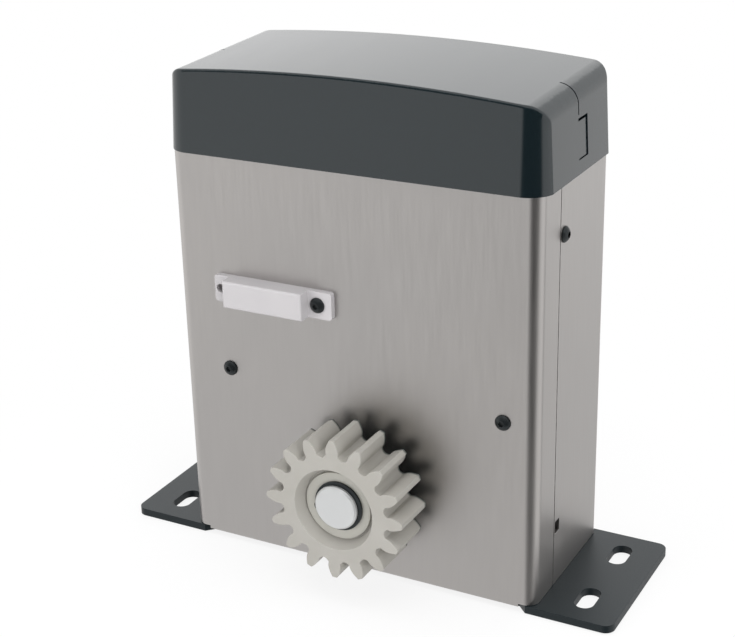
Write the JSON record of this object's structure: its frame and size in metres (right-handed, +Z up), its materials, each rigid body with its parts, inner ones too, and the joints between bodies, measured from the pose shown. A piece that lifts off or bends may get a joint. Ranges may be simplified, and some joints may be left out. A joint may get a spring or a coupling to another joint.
{
  "type": "sliding gate motor",
  "caption": "Slim sliding gate motor on a slotted steel base: folded metal covers, moulded top cover, worm gearbox, limit sensor and a toothed pinion on the front.",
  "frame": {"origin": "centre of the base plate's underside, on the surface it is bolted to", "axes": "+Z up, -Y the front that faces the gate's rack, +X to the right as seen from the front, along the base plate"},
  "size_m": [0.2644, 0.1165, 0.2497],
  "materials": {
    "plate_paint": "dark grey powder coat",
    "cover_steel": "brushed, satin",
    "cap_plastic": "fine textured moulding",
    "sensor_plastic": "fine grain",
    "pinion_steel": "matt machined",
    "shaft_steel": "ground",
    "bearing_steel": "polished",
    "bronze": "machined",
    "zinc_steel": "zinc plated",
    "black_screw": "blackened",
    "cast_aluminium": "as cast",
    "black_aluminium": "black anodised",
    "rubber": "matt",
    "gasket": "fibre sheet",
    "motor_paint": "satin black",
    "black_plastic": "moulded",
    "magnet": "ferrite",
    "carbon": "graphite",
    "lamination": "stacked sheet",
    "copper": "enamelled copper",
    "circuit_board": "solder mask",
    "relay_plastic": "moulded",
    "terminal_plastic": "moulded",
    "capacitor_sleeve": "shrink sleeve",
    "button_red": "moulded"
  },
  "bodies": {
    "housing": {"base_plate": "plate_paint", "cable_grommet": "rubber", "front_cover": "cover_steel", "rear_cover": "cover_steel", "cover_screws": "black_screw", "clinch_nuts": "zinc_steel", "limit_sensor": "sensor_plastic", "left_upright": "zinc_steel", "right_upright": "zinc_steel", "equipment_shelf": "zinc_steel", "board_tray": "zinc_steel", "frame_screws": "zinc_steel", "gearbox_front_case": "cast_aluminium", "gearbox_rear_case": "cast_aluminium", "case_gasket": "gasket", "case_bolts": "black_screw", "gearbox_bolts": "black_screw", "bearing_outer_races": "bearing_steel", "bearing_balls": "bearing_steel", "oil_seal": "rubber", "motor_front_plate": "cast_aluminium", "motor_can": "motor_paint", "motor_end_bell": "black_plastic", "motor_magnets": "magnet", "motor_brushes": "carbon", "motor_bolts": "zinc_steel", "transformer_core": "lamination", "transformer_coil": "copper", "control_board": "circuit_board", "board_spacers": "zinc_steel", "board_screws": "zinc_steel", "relays": "relay_plastic", "terminal_blocks": "terminal_plastic", "fuse_holder": "relay_plastic", "capacitors": "capacitor_sleeve", "controller_chip": "black_plastic", "receiver_module": "circuit_board", "heat_sink": "black_aluminium", "button_housing": "black_plastic"},
    "output": {"output_shaft": "shaft_steel", "pinion": "pinion_steel", "retaining_washer": "shaft_steel", "circlip": "black_screw", "shaft_keys": "shaft_steel", "worm_wheel": "bronze", "bearing_inner_races": "bearing_steel"},
    "rotor": {"worm_shaft": "shaft_steel", "worm_inner_races": "bearing_steel", "armature_core": "lamination", "armature_winding": "copper", "commutator": "copper"},
    "clutch": {"clutch_dog": "pinion_steel"},
    "release": {"release_spindle": "shaft_steel", "release_lever": "plate_paint"},
    "cap": {"top_cover": "cap_plastic", "cap_plugs": "cap_plastic", "cap_screws": "zinc_steel", "cap_nuts": "zinc_steel"},
    "button": {"learn_button": "button_red"}
  },
  "joints": [
    {"name": "motor_spin", "type": "hinge", "parent": "housing", "child": "rotor", "pos_m": [-0.0352, -0.006, 0.1], "axis": [0, 0, 1], "continuous": true},
    {"name": "output_spin", "type": "hinge", "parent": "housing", "child": "output", "pos_m": [0.0058, -0.006, 0.0506], "axis": [0, 1, 0], "continuous": true},
    {"name": "release_turn", "type": "hinge", "parent": "housing", "child": "release", "pos_m": [-0.0955, 0.01284, 0.0506], "axis": [1, 0, 0], "range_deg": [0, 90]},
    {"name": "clutch_slide", "type": "slide", "parent": "output", "child": "clutch", "axis": [0, 1, 0], "range_m": [0, 0.00368]},
    {"name": "cover_lift", "type": "slide", "parent": "housing", "child": "cap", "axis": [0, 0, 1], "range_m": [0, 0.12]},
    {"name": "learn_button_press", "type": "slide", "parent": "housing", "child": "button", "axis": [0, 0, -1], "range_m": [0, 0.0005], "stiffness_N_per_m": 600, "springref_m": -0.0003}
  ],
  "couplings": [
    {"joint": "output_spin", "follows": "motor_spin", "ratio": -0.033333},
    {"joint": "clutch_slide", "follows": "release_turn", "m_per_rad": 0.0023409}
  ]
}
